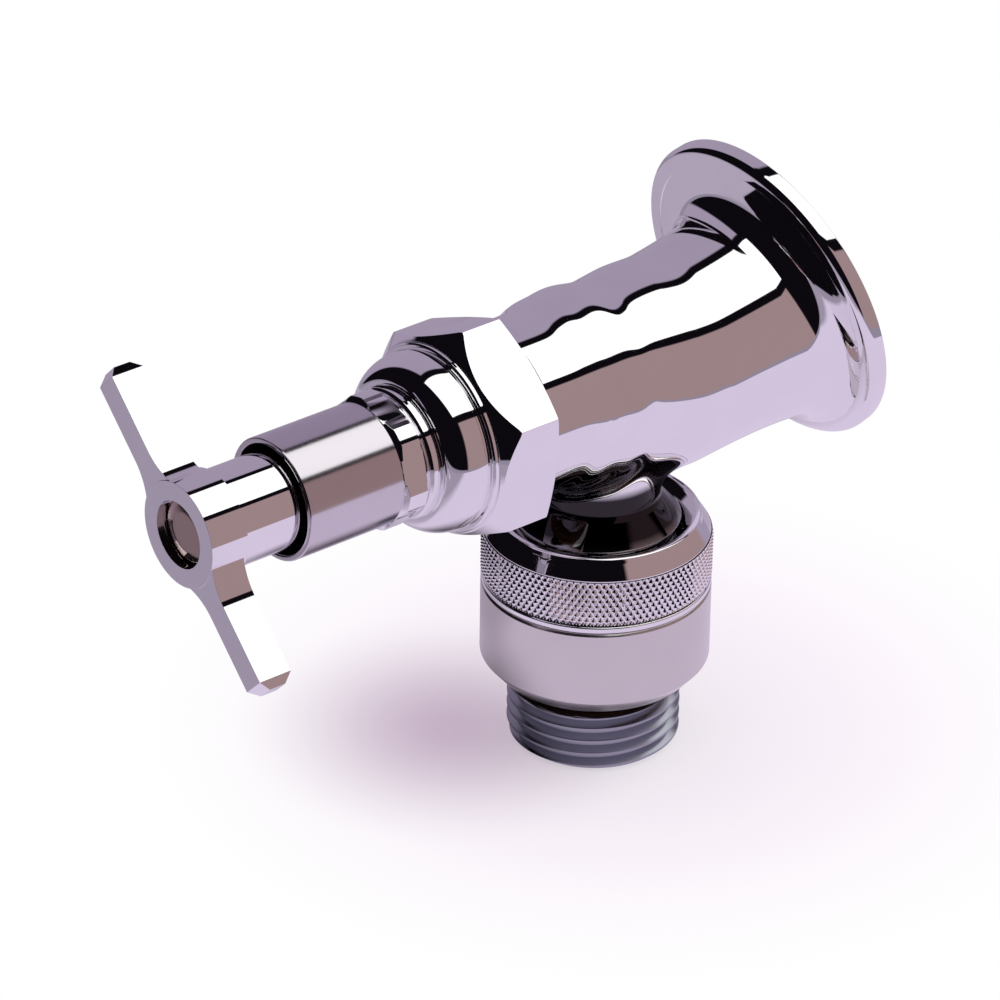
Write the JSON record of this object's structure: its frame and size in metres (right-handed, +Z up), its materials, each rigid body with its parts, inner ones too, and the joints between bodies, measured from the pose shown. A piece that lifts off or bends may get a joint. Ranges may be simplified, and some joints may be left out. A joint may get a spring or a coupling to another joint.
{
  "type": "sill faucet",
  "caption": "Wall-mounted hose faucet: round wall flange, angled compression valve, tee handle and threaded vacuum breaker outlet.",
  "frame": {"origin": "centre of the inlet thread at the wall flange's back face", "axes": "+Y into the wall along the inlet thread, +Z up, the handle towards -Y and 15 degrees up, the outlet down and 15 degrees away from the wall"},
  "size_m": [0.051, 0.1157, 0.1024],
  "materials": {
    "chrome": "polished",
    "satin_chrome": "polished and satin",
    "dull_chrome": "dull grey plating over brass",
    "brass": "turned",
    "rubber": "matt",
    "fibre": "pressed red fibre",
    "packing": "graphite yarn",
    "plastic": "moulded",
    "spring_steel": "drawn wire"
  },
  "bodies": {
    "faucet": {"valve_body": "chrome", "seat_ring": "brass", "bonnet": "chrome", "bonnet_gasket": "fibre", "packing_washer": "brass", "packing_rings": "packing", "packing_gland": "brass", "packing_nut": "chrome", "breaker_housing": "satin_chrome", "hose_washer": "rubber", "lock_screw": "brass", "breaker_nipple": "dull_chrome", "breaker_guide": "plastic", "breaker_spring": "spring_steel"},
    "disc_carrier": {"disc_holder": "brass", "seat_washer": "rubber", "seat_washer_screw": "brass"},
    "handle": {"stem": "brass", "tee_handle": "chrome", "handle_screw": "chrome"},
    "poppet": {"breaker_poppet": "plastic"},
    "rubber_disc": {"breaker_disc": "rubber"}
  },
  "joints": [
    {"name": "stem_rise", "type": "slide", "parent": "faucet", "child": "disc_carrier", "axis": [0, -0.9659, 0.2588], "range_m": [0, 0.00445]},
    {"name": "handle_turn", "type": "hinge", "parent": "disc_carrier", "child": "handle", "pos_m": [0, -0.03452, 0.0044], "axis": [0, -0.9659, 0.2588], "range_deg": [0, 630]},
    {"name": "poppet_drop", "type": "slide", "parent": "faucet", "child": "poppet", "axis": [0, -0.2588, -0.9659], "range_m": [0, 0.0032], "stiffness_N_per_m": 150, "springref_m": -0.003, "deforming": ["breaker_spring"]},
    {"name": "disc_drop", "type": "slide", "parent": "faucet", "child": "rubber_disc", "axis": [0, -0.2588, -0.9659], "range_m": [0, 0.0016]}
  ],
  "couplings": [
    {"joint": "handle_turn", "follows": "stem_rise", "rad_per_m": 2473.7},
    {"joint": "disc_drop", "follows": "poppet_drop", "ratio": 0.5}
  ]
}
